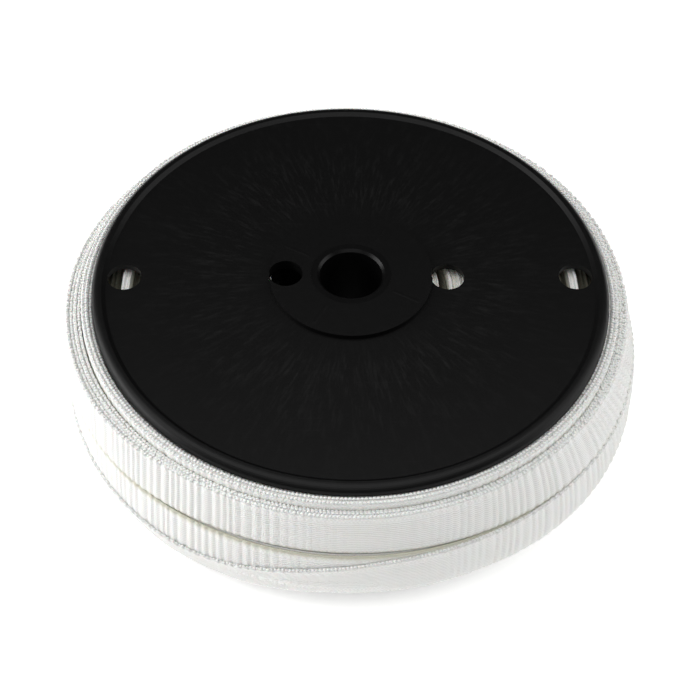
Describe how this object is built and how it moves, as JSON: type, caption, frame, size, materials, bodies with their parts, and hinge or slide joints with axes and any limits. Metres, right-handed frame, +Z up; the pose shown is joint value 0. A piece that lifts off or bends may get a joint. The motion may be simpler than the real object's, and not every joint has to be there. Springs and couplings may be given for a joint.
{
  "type": "reel of flat pull tape",
  "caption": "Black moulded plastic reel lying flat, wound overfull with white flat woven pull tape; plain spindle bore and a row of small holes across the flange.",
  "frame": {"origin": "centre of the reel's footprint, on the axis of the spindle bore, at the lower boss face the reel stands on", "axes": "+Z up along the spindle bore; X along the row of holes, with the drive hole on the -X side; the last lap is slipped down on the -X side"},
  "size_m": [0.1821, 0.1822, 0.056],
  "materials": {
    "reel_plastic": "satin black, with faint flow streaks",
    "bush_plastic": "satin black",
    "woven_tape": "white flat woven polyester, puckered across"
  },
  "bodies": {
    "root": {"upper_flange": "reel_plastic", "lower_flange": "reel_plastic", "hub_barrel": "reel_plastic", "arbor_bush": "bush_plastic", "tape_start": "woven_tape", "tape_bottom_row": "woven_tape", "tape_middle_row": "woven_tape", "tape_top_row": "woven_tape", "tape_upper_laps": "woven_tape", "tape_lower_laps": "woven_tape", "tape_last_lap": "woven_tape"}
  },
  "joints": []
}
